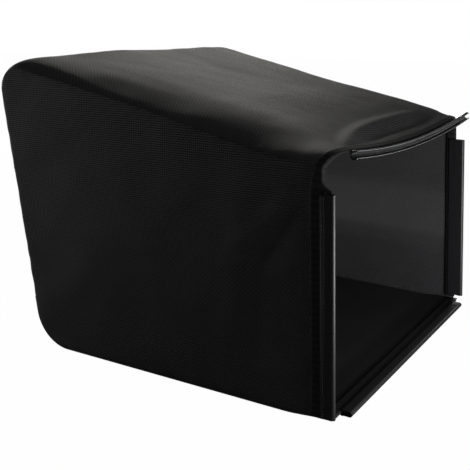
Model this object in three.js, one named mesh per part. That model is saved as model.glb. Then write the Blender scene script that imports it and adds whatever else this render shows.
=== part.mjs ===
import * as THREE from "three";

// Grass collection bag for a walk-behind mower: sewn fabric body, bound mouth, and four
// plastic channels that snap and hook onto the mower's wire frame. Lengths are millimetres.
// X runs across the bag, the mouth faces -Y, the rear faces +Y and the floor lies on Z = 0.

// Body, over the outside of the fabric
const mouthWidth = 402;
const mouthHeight = 251;
const mouthLean = 22;
const leftMouthTop = 18;
const leftMouthFoot = 8.5;
const rightMouthFoot = 5;
const bodyLength = 432;
const rearLean = 36;
const rearHeight = 336;
const rearFootWidth = 430;
const rearTopWidth = 440;
const rearFootRadius = 45;
const rearTopRadius = 26;
const rearSeamHeight = 60;
const floorRamp = 64;

// Fabric and the way it fills out between its seams
const meshThickness = 1.2;
const floorThickness = 1.4;
const clearance = 0.3;
const sideBulge = 5;
const sideBulgePower = 0.8;
const sideFrontPower = 0.3;
const topCrown = 8;
const cornerCrown = 11.5;
const crownFlatness = 0.8;
const crownPower = 20;
const sagLength = 62;
const rearCrown = 8;

// Folded tape round the raw edge of the mouth
const tapeThickness = 1;
const tapeSetback = 11.5;
const tapeWidth = 14;
const tapeInnerWidth = 14;
const cornerFullness = 5;
const cornerPower = 12;
const cornerHeight = 60;
const flatMargin = 7;
const tabReach = 9.5;
const tabHeight = 2.5;
const tabSlope = 3;

// Bound seam allowance inside the bag
const seamTapeWidth = 9;
const seamTapeThickness = 2.6;
const rearTapeInset = 9;

// Round snap channel across the top of the mouth
const snapBore = 6.4;
const snapWall = 1.6;
const snapMouth = 5.4;
const snapTilt = 20;
const snapLength = 360;
const snapShift = 27.5;
const snapBendRadius = 1400;
const snapDrop = 4.8;
const snapTongueLength = 14;
const snapTongueThickness = 1;
const snapTongueHalf = 130;
const snapSetback = 1;
const topTapeSetback = 7;
const topTapeHalf = 0.84;
const topTapeWidth = 9;

// Flat hooked channel down each side and along the floor
const hookWidth = 15;
const hookGroove = 4.4;
const hookWall = 0.8;
const floorHookLip = 11.2;
const sideHookLip = 20;
const hookRibHeight = 0.5;
const hookRibWidth = 1.4;
const hookCornerRadius = 4;
const leftHookFoot = 5;
const leftHookTop = 229;
const rightHookFoot = 9.5;
const rightHookTop = 226;
const floorHookLength = 361;

// Finishes
const meshMaterial = { color: 0x1f1f20, roughness: 0.72, metalness: 0 };
const floorMaterial = { color: 0x17171a, roughness: 0.6, metalness: 0 };
const tapeMaterial = { color: 0x19191b, roughness: 0.85, metalness: 0 };
const channelMaterial = { color: 0x121316, roughness: 0.32, metalness: 0 };

// Values worked out from the sizes above
const floorLength = bodyLength - rearLean;
const topSlope = (rearHeight - mouthHeight) / (bodyLength - mouthLean);
const edgeSetback = tapeSetback + tapeThickness + clearance;
const tapeEnd = tapeSetback + tapeWidth;
const flatDepth = tapeEnd + flatMargin;
const hookThickness = hookGroove + 2 * hookWall;
const hookInside = clearance + tapeThickness + clearance;
const snapRadius = snapBore / 2 + snapWall;
const snapFrom = snapShift - snapLength / 2;
const snapTo = snapShift + snapLength / 2;
const tapeInnerFace = meshThickness + clearance;

// The outer face of the fabric lies this far above the axis of the snap channel
const snapTongueTop = tapeInnerFace + tapeThickness + clearance;
const snapTongueRise = snapTongueTop + snapTongueThickness / 2;

// Half a step along a surface, as a share of it, over which its slope is measured
const nudge = 0.002;

// Angles of a section's arcs, in degrees
const quarterTurn = 90;
const halfTurn = 180;
const fullTurn = 360;

const group = new THREE.Group();

function mouthPlaneY(z) {
  return (mouthLean * z) / mouthHeight;
}

// The front line of the mouth at each side. The bag is slack, so its left corner hangs forward.
function sideFrontY(side, z) {
  const foot = side < 0 ? leftMouthFoot : rightMouthFoot;
  const top = side < 0 ? leftMouthTop : mouthLean;
  return THREE.MathUtils.lerp(foot, top, z / mouthHeight);
}

// How far each place on the top edge, at a share u of the half width, lies in its corner.
function cornerShare(u) {
  return THREE.MathUtils.smoothstep(Math.abs(u), topTapeHalf, 1);
}

function topFrontY(u) {
  return THREE.MathUtils.lerp(mouthLean, sideFrontY(Math.sign(u), mouthHeight), cornerShare(u));
}

function halfWidth(y, z) {
  const rearWidth = THREE.MathUtils.lerp(rearFootWidth, rearTopWidth, z / rearHeight);
  return THREE.MathUtils.lerp(mouthWidth, rearWidth, y / bodyLength) / 2;
}

function addMesh(name, geometry, finish) {
  const mesh = new THREE.Mesh(geometry, new THREE.MeshStandardMaterial(finish));
  mesh.name = name;
  group.add(mesh);
}

// Turns corner points and triangles into a closed geometry whose faces point outwards.
function closedGeometry(points, triangles) {
  let volume = 0;
  for (const [a, b, c] of triangles) {
    volume += points[a].dot(new THREE.Vector3().crossVectors(points[b], points[c]));
  }
  const outward = volume > 0 ? triangles : triangles.map(([a, b, c]) => [a, c, b]);
  const geometry = new THREE.BufferGeometry().setFromPoints(points);
  geometry.setIndex(outward.flat());
  geometry.computeVertexNormals();
  return geometry;
}

// A sheet of even thickness: surface(a, b) is its outer face, for a and b from 0 to 1.
function sheetGeometry(acrossSteps, alongSteps, surface, thickness) {
  const across = acrossSteps.length;
  const along = alongSteps.length;
  const outer = [];
  const inner = [];
  for (const b of alongSteps) {
    for (const a of acrossSteps) {
      const point = surface(a, b);
      const aSide = surface(Math.min(a + nudge, 1), b).sub(surface(Math.max(a - nudge, 0), b));
      const bSide = surface(a, Math.min(b + nudge, 1)).sub(surface(a, Math.max(b - nudge, 0)));
      const normal = aSide.cross(bSide).normalize();
      outer.push(point);
      inner.push(point.clone().addScaledVector(normal, -thickness));
    }
  }
  const triangles = [];
  const addQuad = (a, b, c, d) => triangles.push([a, b, c], [a, c, d]);
  const back = outer.length;
  for (let j = 0; j < along - 1; j += 1) {
    for (let i = 0; i < across - 1; i += 1) {
      const k = j * across + i;
      addQuad(k, k + 1, k + 1 + across, k + across);
      addQuad(back + k, back + k + across, back + k + 1 + across, back + k + 1);
    }
  }
  const rim = [];
  for (let i = 0; i < across - 1; i += 1) rim.push(i);
  for (let j = 0; j < along - 1; j += 1) rim.push(j * across + across - 1);
  for (let i = across - 1; i > 0; i -= 1) rim.push((along - 1) * across + i);
  for (let j = along - 1; j > 0; j -= 1) rim.push(j * across);
  rim.forEach((k, i) => {
    const next = rim[(i + 1) % rim.length];
    addQuad(k, back + k, back + next, next);
  });
  return closedGeometry([...outer, ...inner], triangles);
}

// A solid swept through stations. Each has an origin, a back and an out direction, and a
// section: a closed outline of [back, out] distances with the same count at every station.
function sweepGeometry(stations) {
  const count = stations[0].section.length;
  const points = stations.flatMap(({ origin, back, out, section }) =>
    section.map(([d, n]) => origin.clone().addScaledVector(back, d).addScaledVector(out, n)));
  const triangles = [];
  for (let j = 0; j < stations.length - 1; j += 1) {
    for (let i = 0; i < count; i += 1) {
      const a = j * count + i;
      const b = j * count + ((i + 1) % count);
      triangles.push([a, b, b + count], [a, b + count, a + count]);
    }
  }
  const capOf = ({ section }) =>
    THREE.ShapeUtils.triangulateShape(section.map(([d, n]) => new THREE.Vector2(d, n)), []);
  const turn = THREE.ShapeUtils.area(
    stations[0].section.map(([d, n]) => new THREE.Vector2(d, n))) > 0;
  const last = (stations.length - 1) * count;
  const facing = ([a, b, c]) => (turn ? [a, b, c] : [a, c, b]);
  for (const [a, b, c] of capOf(stations[0]).map(facing)) triangles.push([a, c, b]);
  for (const [a, b, c] of capOf(stations[stations.length - 1]).map(facing)) {
    triangles.push([last + a, last + b, last + c]);
  }
  return closedGeometry(points, triangles);
}

function spread(from, to, steps) {
  return Array.from({ length: steps + 1 }, (_, i) => THREE.MathUtils.lerp(from, to, i / steps));
}

// Steps from 0 to 1 that crowd towards both ends, where a panel turns over at its seams.
function crowdedSteps(steps) {
  return spread(0, 1, steps).map((a) => (1 - Math.cos(Math.PI * a)) / 2);
}

const acrossSteps = crowdedSteps(22);

// The seam line of a side panel in the YZ plane, from the top of the mouth over the rear to
// the foot of the mouth, with its two round corners.
const topFront = new THREE.Vector2(mouthLean + edgeSetback, mouthHeight + topSlope * edgeSetback);
const topRear = new THREE.Vector2(bodyLength, rearHeight);
const footRear = new THREE.Vector2(floorLength, 0);
const footFront = new THREE.Vector2(edgeSetback, 0);

function roundCorner(before, corner, after, radius) {
  const toBefore = before.clone().sub(corner).normalize();
  const toAfter = after.clone().sub(corner).normalize();
  const half = Math.acos(toBefore.dot(toAfter)) / 2;
  const reach = radius / Math.tan(half);
  const start = corner.clone().addScaledVector(toBefore, reach);
  const end = corner.clone().addScaledVector(toAfter, reach);
  const inward = toBefore.add(toAfter).normalize();
  const centre = corner.clone().addScaledVector(inward, radius / Math.sin(half));
  return { start, end, centre, radius };
}

const topCorner = roundCorner(topFront, topRear, footRear, rearTopRadius);
const footCorner = roundCorner(topRear, footRear, footFront, rearFootRadius);

function cornerArc({ start, end, centre, radius }) {
  const from = Math.atan2(start.y - centre.y, start.x - centre.x);
  const to = Math.atan2(end.y - centre.y, end.x - centre.x);
  return new THREE.EllipseCurve(centre.x, centre.y, radius, radius, from, to, true);
}

const seamLine = new THREE.CurvePath();
seamLine.add(new THREE.LineCurve(topFront, topCorner.start));
seamLine.add(cornerArc(topCorner));
seamLine.add(new THREE.LineCurve(topCorner.end, footCorner.start));
seamLine.add(cornerArc(footCorner));
seamLine.add(new THREE.LineCurve(footCorner.end, footFront));

// Distances along the seam line at which its three straight runs and two corners end
const [topEnd, topCornerEnd, rearEnd, footCornerEnd, seamEnd] = seamLine.getCurveLengths();
const rearSeamAt = rearEnd - (rearSeamHeight - footCorner.start.y);

function seamPoint(distance) {
  return seamLine.getPoint(distance / seamEnd);
}

function seamOut(distance) {
  const tangent = seamLine.getTangent(distance / seamEnd);
  return new THREE.Vector2(-tangent.y, tangent.x);
}

// How far the fabric stands out between the side seams, at a share u of the half width.
function pillow(u) {
  const flat = 1 - Math.abs(u) ** crownPower;
  return THREE.MathUtils.lerp(1 - u * u, flat, crownFlatness);
}

// Height of the top edge of the mouth, which follows the snap channel's bend and turns down
// to the side seams in round corners.
function channelHeight(x) {
  return mouthHeight - snapDrop + (x - snapShift) ** 2 / (2 * snapBendRadius);
}

function mouthEdgeLift(u) {
  const x = u * (mouthWidth / 2);
  const level = channelHeight(x) + snapTongueRise - mouthHeight;
  const corner = channelHeight(Math.sign(u) * (mouthWidth / 2)) + snapTongueRise - mouthHeight;
  return level - corner * Math.abs(u) ** cornerPower;
}

// Behind the snap channel the fabric reaches further forward than in the corners.
function topTapeFront(u) {
  return THREE.MathUtils.lerp(topTapeSetback, tapeSetback, cornerShare(u));
}

// The crown is fullest over the rear top corner and runs out at the foot of the rear.
function crownAt(distance) {
  if (distance < topEnd) {
    const share = THREE.MathUtils.smoothstep(distance, topEnd / 2, topEnd);
    return THREE.MathUtils.lerp(topCrown, cornerCrown, share);
  }
  const rearShare = THREE.MathUtils.smoothstep(distance, topCornerEnd, rearSeamAt);
  const footShare = THREE.MathUtils.smoothstep(distance, rearSeamAt, footCornerEnd);
  return THREE.MathUtils.lerp(cornerCrown, rearCrown, rearShare) * (1 - footShare);
}

function standOut(distance, u) {
  const { y, z } = bodyPoint(distance);
  const crown = crownAt(distance) * pillow(u);
  if (distance > topEnd) return crown;
  const behindMouth = y - mouthPlaneY(z);
  const free = THREE.MathUtils.smoothstep(behindMouth, flatDepth, flatDepth + sagLength);
  return THREE.MathUtils.lerp(mouthEdgeLift(u), crown, free);
}

function bodyPoint(distance) {
  const point = seamPoint(distance);
  return { y: point.x, z: point.y };
}

// A point on a strip that runs between the side panels, at a distance along the seam line.
function stripPoint(distance, u, lift = 0) {
  const { y, z } = bodyPoint(distance);
  const out = seamOut(distance);
  const rise = standOut(distance, u) + lift;
  const x = u * (halfWidth(y, z) - meshThickness - clearance);
  return new THREE.Vector3(x, y + out.x * rise, z + out.y * rise);
}

// Top and rear: one length of coated mesh that turns over the rear top corner.
const topRearBreaks = [
  0,
  ...spread(flatDepth - edgeSetback, flatDepth + sagLength, 5),
  ...spread(flatDepth + sagLength, topEnd, 5).slice(1),
  ...spread(topEnd, topCornerEnd, 5).slice(1),
  ...spread(topCornerEnd, rearSeamAt - clearance / 2, 3).slice(1),
];
const topRearTo = rearSeamAt - clearance / 2;
const topRearSurface = (a, b) => {
  const u = 2 * a - 1;
  const point = stripPoint(b * topRearTo, u);
  const front = 1 - THREE.MathUtils.smoothstep(b * topRearTo, 0, flatDepth - edgeSetback);
  const slack = 1 - THREE.MathUtils.smoothstep(b * topRearTo, 0, flatDepth + sagLength);
  point.y -= front * (tapeSetback - topTapeFront(u)) + slack * (mouthLean - topFrontY(u));
  point.z -= front * (tapeSetback - topTapeFront(u)) * topSlope;
  return point;
};
const topRearAlong = topRearBreaks.map((distance) => distance / topRearTo);
addMesh("top_rear_panel",
  sheetGeometry(acrossSteps, topRearAlong, topRearSurface, meshThickness), meshMaterial);

// Floor: solid coated cloth that turns up round the rear foot to meet the mesh.
const floorRise = 2 * clearance + hookWall + hookRibHeight + tapeThickness;

function floorLift(y) {
  return floorRise * (1 - THREE.MathUtils.smoothstep(y, tapeEnd, floorRamp));
}

function floorPoint(distance, u) {
  const point = stripPoint(distance, u);
  point.z += floorLift(point.y);
  return point;
}

const floorFrom = rearSeamAt + clearance / 2;
const floorBreaks = [
  ...spread(floorFrom, rearEnd, 1),
  ...spread(rearEnd, footCornerEnd, 5).slice(1),
  ...spread(footCornerEnd, seamEnd - 2 * tapeEnd, 2).slice(1),
  ...spread(seamEnd - 2 * tapeEnd, seamEnd, 4).slice(1),
];
const floorSurface = (a, b) =>
  floorPoint(THREE.MathUtils.lerp(floorFrom, seamEnd, b), 2 * a - 1);
const floorAlong = floorBreaks.map((distance) => (distance - floorFrom) / (seamEnd - floorFrom));
addMesh("floor_panel",
  sheetGeometry(acrossSteps, floorAlong, floorSurface, floorThickness), floorMaterial);

// Side panels: flat-cut mesh that fills out a little between its seams.
function sideOutline(a, b) {
  const topMiddle = (topEnd + topCornerEnd) / 2;
  const footMiddle = (rearEnd + footCornerEnd) / 2;
  const top = seamPoint(a * topMiddle);
  const foot = seamPoint(THREE.MathUtils.lerp(seamEnd, footMiddle, a));
  const front = footFront.clone().lerp(topFront, b);
  const rear = seamPoint(THREE.MathUtils.lerp(footMiddle, topMiddle, b));
  const point = foot.clone().lerp(top, b).add(front.clone().lerp(rear, a));
  const corners = footFront.clone().lerp(topFront, b)
    .lerp(seamPoint(footMiddle).lerp(seamPoint(topMiddle), b), a);
  return point.sub(corners);
}

function sidePoint(side, a, b) {
  const outline = sideOutline(a, b);
  const z = outline.y;
  const y = outline.x + (sideFrontY(side, z) - mouthPlaneY(z)) * (1 - a);
  const behind = (y - mouthPlaneY(z) - flatDepth) / (bodyLength - flatDepth);
  const lengthways = Math.sin(Math.PI * THREE.MathUtils.clamp(behind, 0, 1)) ** sideBulgePower;
  const upright = Math.sin(Math.PI * b) ** sideBulgePower * Math.sin(Math.PI * a) ** sideFrontPower;
  const x = side * (halfWidth(y, z) + sideBulge * lengthways * upright);
  return new THREE.Vector3(x, y, z + floorLift(y) * (1 - b));
}

// The tape stays on flat fabric, so the panel has a row of corners just behind it.
const tapeShare = (flatDepth - edgeSetback) / topEnd;
const sideSteps = [0, tapeShare, ...crowdedSteps(12).slice(2)];
for (const [name, side] of [["left", -1], ["right", 1]]) {
  const surface = (a, b) => (side < 0 ? sidePoint(side, 1 - a, b) : sidePoint(side, a, b));
  const lengthSteps = side < 0 ? sideSteps.map((a) => 1 - a).reverse() : sideSteps;
  addMesh(`${name}_side_panel`,
    sheetGeometry(lengthSteps, crowdedSteps(10), surface, meshThickness), meshMaterial);
}

// The edge of the mouth. A place on it has its point on the outside of the fabric in the
// plane of the mouth, the direction back along the fabric and the direction out of the bag.
function sideEdge(side, z) {
  const y = sideFrontY(side, z);
  const flare = (halfWidth(y + tapeEnd, z) - halfWidth(y, z)) / tapeEnd;
  const climb = topSlope * THREE.MathUtils.smoothstep(z, mouthHeight - cornerHeight, mouthHeight);
  const back = new THREE.Vector3(side * flare, 1, climb).normalize();
  const out = new THREE.Vector3(side, -flare, 0).normalize();
  return { origin: new THREE.Vector3(side * halfWidth(y, z), y, z), back, out };
}

function topEdge(u) {
  const across = halfWidth(mouthLean, mouthHeight) - meshThickness - clearance;
  const flare = (halfWidth(mouthLean + tapeEnd, mouthHeight) - across - meshThickness) / tapeEnd;
  const back = new THREE.Vector3(u * flare, 1, topSlope).normalize();
  const before = Math.max(u - nudge, -1);
  const after = Math.min(u + nudge, 1);
  const slope = (mouthEdgeLift(after) - mouthEdgeLift(before)) / ((after - before) * across);
  const out = new THREE.Vector3(1, 0, slope).cross(back).normalize();
  return { origin: topOrigin(u * across, topFrontY(u), mouthEdgeLift(u)), back, out };
}

function topOrigin(x, y, lift) {
  const up = seamOut(0);
  return new THREE.Vector3(x, y + up.x * lift, mouthHeight + up.y * lift);
}

// Folded tape: a U section whose closed front covers the raw edge of the fabric.
function tapeSection(front, rear, fullness, thickness) {
  const inner = -(thickness + clearance + fullness);
  const outer = clearance + tapeThickness;
  const wall = front + tapeThickness;
  return [
    [front, outer],
    [rear, outer],
    [rear, clearance],
    [wall, clearance],
    [wall, inner],
    [front + tapeInnerWidth, inner],
    [front + tapeInnerWidth, inner - tapeThickness],
    [front, inner - tapeThickness],
  ];
}

// The tape ends a little above the floor. It is wide beside the channels and narrow over the
// top, and on the left a tab of it stands out over the end of the channel.
const tapeFoot = floorRise + floorThickness + tapeThickness + 3 * clearance;

function sideTape(side, tabFoot, reach) {
  const stops = [
    ...spread(tapeFoot, tabFoot - clearance / 2, 4).map((z) => [z, 0]),
    [tabFoot, reach],
    [tabFoot + tabHeight, reach],
    [tabFoot + tabHeight + tabSlope, 0],
    ...spread(mouthHeight - cornerHeight / 4, mouthHeight - 2 * tapeThickness, 2)
      .map((z) => [z, 0]),
  ];
  const stations = stops.map(([z, standsOut]) => {
    const share = THREE.MathUtils.smoothstep(z, tabFoot, mouthHeight);
    const rear = THREE.MathUtils.lerp(tapeEnd, tapeSetback + topTapeWidth, share);
    const front = tapeSetback - standsOut;
    const section = tapeSection(front, rear, cornerFullness * share, meshThickness);
    return { ...sideEdge(side, z), section };
  });
  return [...stations, seamStation(side)];
}

// Over the side seam the tape turns half way from the side to the top.
function seamStation(side) {
  const below = sideEdge(side, mouthHeight);
  const above = topEdge(side);
  return {
    origin: below.origin,
    back: below.back.add(above.back).normalize(),
    out: below.out.add(above.out).normalize(),
    section: tapeSection(tapeSetback, tapeSetback + topTapeWidth, cornerFullness, meshThickness),
  };
}

const topTape = acrossSteps.slice(1, -1).map((a) => {
  const u = 2 * a - 1;
  const front = topTapeFront(u);
  const full = cornerFullness * cornerShare(u);
  return { ...topEdge(u), section: tapeSection(front, front + topTapeWidth, full, meshThickness) };
});
const mouthTape = [
  ...sideTape(-1, leftHookTop + clearance, tabReach),
  ...topTape,
  ...sideTape(1, rightHookTop + clearance, 0).reverse(),
];
addMesh("mouth_edge_tape", sweepGeometry(mouthTape), tapeMaterial);

// Edge tape along the floor, folded round the coated cloth between the side channels.
const floorTapeLength = mouthWidth - 2 * (hookInside + hookGroove + hookWall + clearance);
function floorStation(x, section) {
  const origin = new THREE.Vector3(x, 0, floorRise);
  return { origin, back: new THREE.Vector3(0, 1, 0), out: new THREE.Vector3(0, 0, -1), section };
}
const floorTape = [-0.5, 0.5].map((share) =>
  floorStation(share * floorTapeLength, tapeSection(tapeSetback, tapeEnd, 0, floorThickness)));
addMesh("floor_edge_tape", sweepGeometry(floorTape), tapeMaterial);

// Tape bound over the seam allowance, inside the bag along each side seam. It runs over the
// top and down the rear, and stops where the smooth floor begins.
const seamStops = [
  ...spread(tapeEnd, topEnd, 6),
  ...spread(topEnd, topCornerEnd, 5).slice(1),
  ...spread(topCornerEnd, rearEnd, 3).slice(1),
  ...spread(rearEnd, footCornerEnd, 5).slice(1),
];
const seamDepth = floorThickness + clearance;
for (const [name, side] of [["left", -1], ["right", 1]]) {
  const stations = seamStops.map((distance) => {
    const { y, z } = bodyPoint(distance);
    const out = seamOut(distance);
    const x = side * (halfWidth(y, z) - meshThickness - clearance);
    return {
      origin: new THREE.Vector3(x, y, z),
      back: new THREE.Vector3(0, -out.x, -out.y),
      out: new THREE.Vector3(-side, 0, 0),
      section: [
        [seamDepth, 0],
        [seamDepth + seamTapeWidth, 0],
        [seamDepth + seamTapeWidth, seamTapeThickness],
        [seamDepth, seamTapeThickness],
      ],
    };
  });
  addMesh(`${name}_seam_tape`, sweepGeometry(stations), tapeMaterial);
}

// The same tape over the seam that joins the floor to the mesh across the rear.
const rearSeam = bodyPoint(rearSeamAt);
const rearTapeReach = 1 - rearTapeInset / halfWidth(rearSeam.y, rearSeam.z);
const rearTapeStops = acrossSteps.map((a) => 2 * a - 1).filter((u) => Math.abs(u) < rearTapeReach);
const rearTape = [-rearTapeReach, ...rearTapeStops, rearTapeReach].map((u) => {
  const out = seamOut(rearSeamAt);
  return {
    origin: stripPoint(rearSeamAt, u, -seamDepth),
    back: new THREE.Vector3(0, -out.y, out.x),
    out: new THREE.Vector3(0, -out.x, -out.y),
    section: [
      [-seamTapeWidth / 2, 0],
      [seamTapeWidth / 2, 0],
      [seamTapeWidth / 2, seamTapeThickness],
      [-seamTapeWidth / 2, seamTapeThickness],
    ],
  };
});
addMesh("rear_seam_tape", sweepGeometry(rearTape), tapeMaterial);

function arcPoints(centre, radius, from, to, steps) {
  return spread(from, to, steps).map((degrees) => {
    const angle = THREE.MathUtils.degToRad(degrees);
    return [centre[0] + radius * Math.cos(angle), centre[1] + radius * Math.sin(angle)];
  });
}

// Hooked channel: the outer leg is sewn over the tape, the front turns in round the wire and
// the inner leg springs back over it. The rear edge of the outer leg carries a raised rib.
function hookSection(rearEdge, lip) {
  const outerFace = hookInside + hookWall;
  const bend = hookThickness / 2;
  const centre = [bend, outerFace - bend];
  return [
    [rearEdge, outerFace + hookRibHeight],
    [rearEdge - hookRibWidth, outerFace + hookRibHeight],
    [rearEdge - hookRibWidth, outerFace],
    ...arcPoints(centre, bend, quarterTurn, fullTurn - quarterTurn, 8),
    [lip, outerFace - hookThickness],
    [lip, outerFace - hookThickness + hookWall],
    ...arcPoints(centre, bend - hookWall, fullTurn - quarterTurn, quarterTurn, 8),
    [rearEdge, hookInside],
  ];
}

// The free corners of the sewn leg are rounded off at both ends of a channel.
function hookStops(length) {
  const ends = [0, 0.15, 0.45, 1].map((share) => share * hookCornerRadius);
  const inset = (along) => hookCornerRadius - Math.sqrt(
    hookCornerRadius ** 2 - (hookCornerRadius - along) ** 2);
  const near = ends.map((along) => [along, hookWidth - inset(along)]);
  const far = near.map(([along, rear]) => [length - along, rear]).reverse();
  return [...near, ...far];
}

const sideHooks = [
  ["left", -1, leftHookFoot, leftHookTop],
  ["right", 1, rightHookFoot, rightHookTop],
];
for (const [name, side, foot, top] of sideHooks) {
  const { back, out } = sideEdge(side, (foot + top) / 2);
  const stations = hookStops(top - foot).map(([along, rear]) => {
    const section = hookSection(rear, sideHookLip);
    return { origin: sideEdge(side, foot + along).origin, back, out, section };
  });
  addMesh(`${name}_hook_channel`, sweepGeometry(stations), channelMaterial);
}

const floorHook = hookStops(floorHookLength).map(([along, rear]) =>
  floorStation(along - floorHookLength / 2, hookSection(rear, floorHookLip)));
addMesh("floor_hook_channel", sweepGeometry(floorHook), channelMaterial);

// Snap channel: an open tube that presses onto the wire across the top. Its opening is turned
// up, and a tongue behind it is sewn under the edge of the fabric.
function snapSection(tongueLength) {
  const centre = [snapSetback, -snapTongueRise];
  const opening = THREE.MathUtils.radToDeg(Math.asin(snapMouth / snapBore));
  const front = halfTurn - snapTilt;
  const half = snapTongueThickness / 2;
  const root = THREE.MathUtils.radToDeg(Math.asin(half / snapRadius));
  const tip = centre[0] + snapRadius + tongueLength;
  return [
    ...arcPoints(centre, snapRadius, front + opening, fullTurn - root, 8),
    [tip, centre[1] - half],
    [tip, centre[1] + half],
    ...arcPoints(centre, snapRadius, root, front - opening, 8),
    ...arcPoints(centre, snapBore / 2, front - opening, front + opening - fullTurn, 12),
  ];
}

const snapStops = [
  [snapFrom, 0],
  [-snapTongueHalf - clearance, 0],
  ...spread(-snapTongueHalf, snapTongueHalf, 12).map((x) => [x, snapTongueLength]),
  [snapTongueHalf + clearance, 0],
  [snapTo, 0],
];
const snapStations = snapStops.map(([x, length]) => {
  const lift = channelHeight(x) + snapTongueRise - mouthHeight;
  const along = new THREE.Vector3(1, 0, (x - snapShift) / snapBendRadius);
  const back = new THREE.Vector3(0, 1, topSlope).normalize();
  return {
    origin: topOrigin(x, mouthLean, lift),
    back,
    out: along.cross(back).normalize(),
    section: snapSection(Math.max(length, clearance)),
  };
});
addMesh("top_snap_channel", sweepGeometry(snapStations), channelMaterial);

// The origin is the middle of the bag's footprint, at floor level.
const extent = new THREE.Box3().setFromObject(group);
group.position.y = -(extent.min.y + extent.max.y) / 2;

export default group;
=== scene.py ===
import bmesh
import bpy
import math
import numpy as np
from mathutils import Matrix, Vector, noise


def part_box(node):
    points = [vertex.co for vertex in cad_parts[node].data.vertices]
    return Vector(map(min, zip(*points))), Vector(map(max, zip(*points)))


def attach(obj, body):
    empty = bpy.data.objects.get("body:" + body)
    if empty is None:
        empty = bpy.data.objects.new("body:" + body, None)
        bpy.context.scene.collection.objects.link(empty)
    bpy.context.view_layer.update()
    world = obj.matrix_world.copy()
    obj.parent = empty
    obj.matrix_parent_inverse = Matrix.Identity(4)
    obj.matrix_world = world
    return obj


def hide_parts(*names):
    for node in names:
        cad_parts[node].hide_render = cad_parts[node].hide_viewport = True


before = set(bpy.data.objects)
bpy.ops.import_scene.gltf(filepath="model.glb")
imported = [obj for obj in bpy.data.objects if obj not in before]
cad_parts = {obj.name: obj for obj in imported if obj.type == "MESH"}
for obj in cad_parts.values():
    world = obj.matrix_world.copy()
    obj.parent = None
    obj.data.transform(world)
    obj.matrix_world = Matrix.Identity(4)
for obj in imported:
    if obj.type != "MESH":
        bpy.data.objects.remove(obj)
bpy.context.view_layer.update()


# Studio: a white sweep with the bag standing on it, a soft light over the right rear that skims
# the top, a low one in front of the mouth, one for the snap channel, three for the outer sides,
# and a camera a little above the rim of the mouth, to its front left.
CAMERA_PLACE = (-0.8183, -0.4905, 0.3840)
CAMERA_RIGHT = (0.5394, -0.8421, 0.0)
CAMERA_UP = (0.2304, 0.1476, 0.9618)
CAMERA_BACK = (-0.8099, -0.5188, 0.2736)
FOCAL_LENGTH_MM = 58.83

camera = bpy.data.objects.new("camera", bpy.data.cameras.new("camera"))
camera.data.lens = FOCAL_LENGTH_MM
camera.data.clip_start = 0.05
camera.matrix_world = (Matrix.Translation(CAMERA_PLACE)
                       @ Matrix((CAMERA_RIGHT, CAMERA_UP, CAMERA_BACK)).transposed().to_4x4())
bpy.context.scene.collection.objects.link(camera)
bpy.context.scene.camera = camera
bpy.context.scene.view_settings.view_transform = "Standard"


def linear(hex_colour):
    """An sRGB hex colour as the linear values that shaders take."""
    channels = [int(hex_colour[i:i + 2], 16) / 255 for i in (1, 3, 5)]
    return [c / 12.92 if c <= 0.04045 else ((c + 0.055) / 1.055) ** 2.4 for c in channels] + [1]


def add_node(tree, kind, inputs=None, **settings):
    """Adds a node; an input is given by name or number, as a value or as a socket to link."""
    node = tree.nodes.new(kind)
    for name, value in settings.items():
        setattr(node, name, value)
    for key, value in (inputs or {}).items():
        socket = node.inputs[key]
        if isinstance(value, bpy.types.NodeSocket):
            tree.links.new(value, socket)
        else:
            socket.default_value = value
    return node


def new_material(name):
    material = bpy.data.materials.new(name)
    material.use_nodes = True
    material.node_tree.nodes.clear()
    return material, material.node_tree


def finish_material(tree, shader):
    add_node(tree, "ShaderNodeOutputMaterial", {"Surface": shader.outputs[0]})


def soft_light(name, size, power, place, aim, colour="#ffffff"):
    lamp = bpy.data.lights.new(name, "AREA")
    lamp.color = linear(colour)[:3]
    lamp.shape = "RECTANGLE"
    lamp.size, lamp.size_y = size
    lamp.energy = power
    light = bpy.data.objects.new(name, lamp)
    light.location = place
    light.rotation_euler = (Vector(aim) - Vector(place)).to_track_quat("-Z", "Y").to_euler()
    bpy.context.scene.collection.objects.link(light)


soft_light("top_softbox", (1.3, 0.5), 12, (1.45, 1.2, 0.78), (0, 0.1, 0.3), "#fffdf6")
soft_light("mouth_light", (0.35, 0.12), 4, (-0.1, -0.62, 0.07), (0.15, 0.1, 0.12))
soft_light("snap_channel_light", (0.4, 0.4), 1.6, (1.7, -0.4, 0.6), (0.05, -0.2, 0.25))
soft_light("left_rear_fill", (0.9, 0.9), 12, (-1.0, 2.1, 0.4), (-0.2, 0.2, 0.15))
soft_light("rear_light", (1.0, 0.4), 16, (0.5, 2.0, 0.25), (0, 0.2, 0.15))
soft_light("right_light", (1.0, 0.3), 12, (1.9, 0.35, 0.18), (0.2, 0, 0.12))

world = bpy.data.worlds.new("studio")
world.use_nodes = True
world_tree = world.node_tree
world_tree.nodes.clear()
seen = add_node(world_tree, "ShaderNodeLightPath")
studio_glow = add_node(world_tree, "ShaderNodeBackground",
                       {"Color": linear("#ffffff"), "Strength": 0.125})
white_backdrop = add_node(world_tree, "ShaderNodeBackground",
                          {"Color": linear("#ffffff"), "Strength": 1.0})
world_mix = add_node(world_tree, "ShaderNodeMixShader",
                     {0: seen.outputs["Is Camera Ray"], 1: studio_glow.outputs[0],
                      2: white_backdrop.outputs[0]})
add_node(world_tree, "ShaderNodeOutputWorld", {"Surface": world_mix.outputs[0]})
bpy.context.scene.world = world

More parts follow.
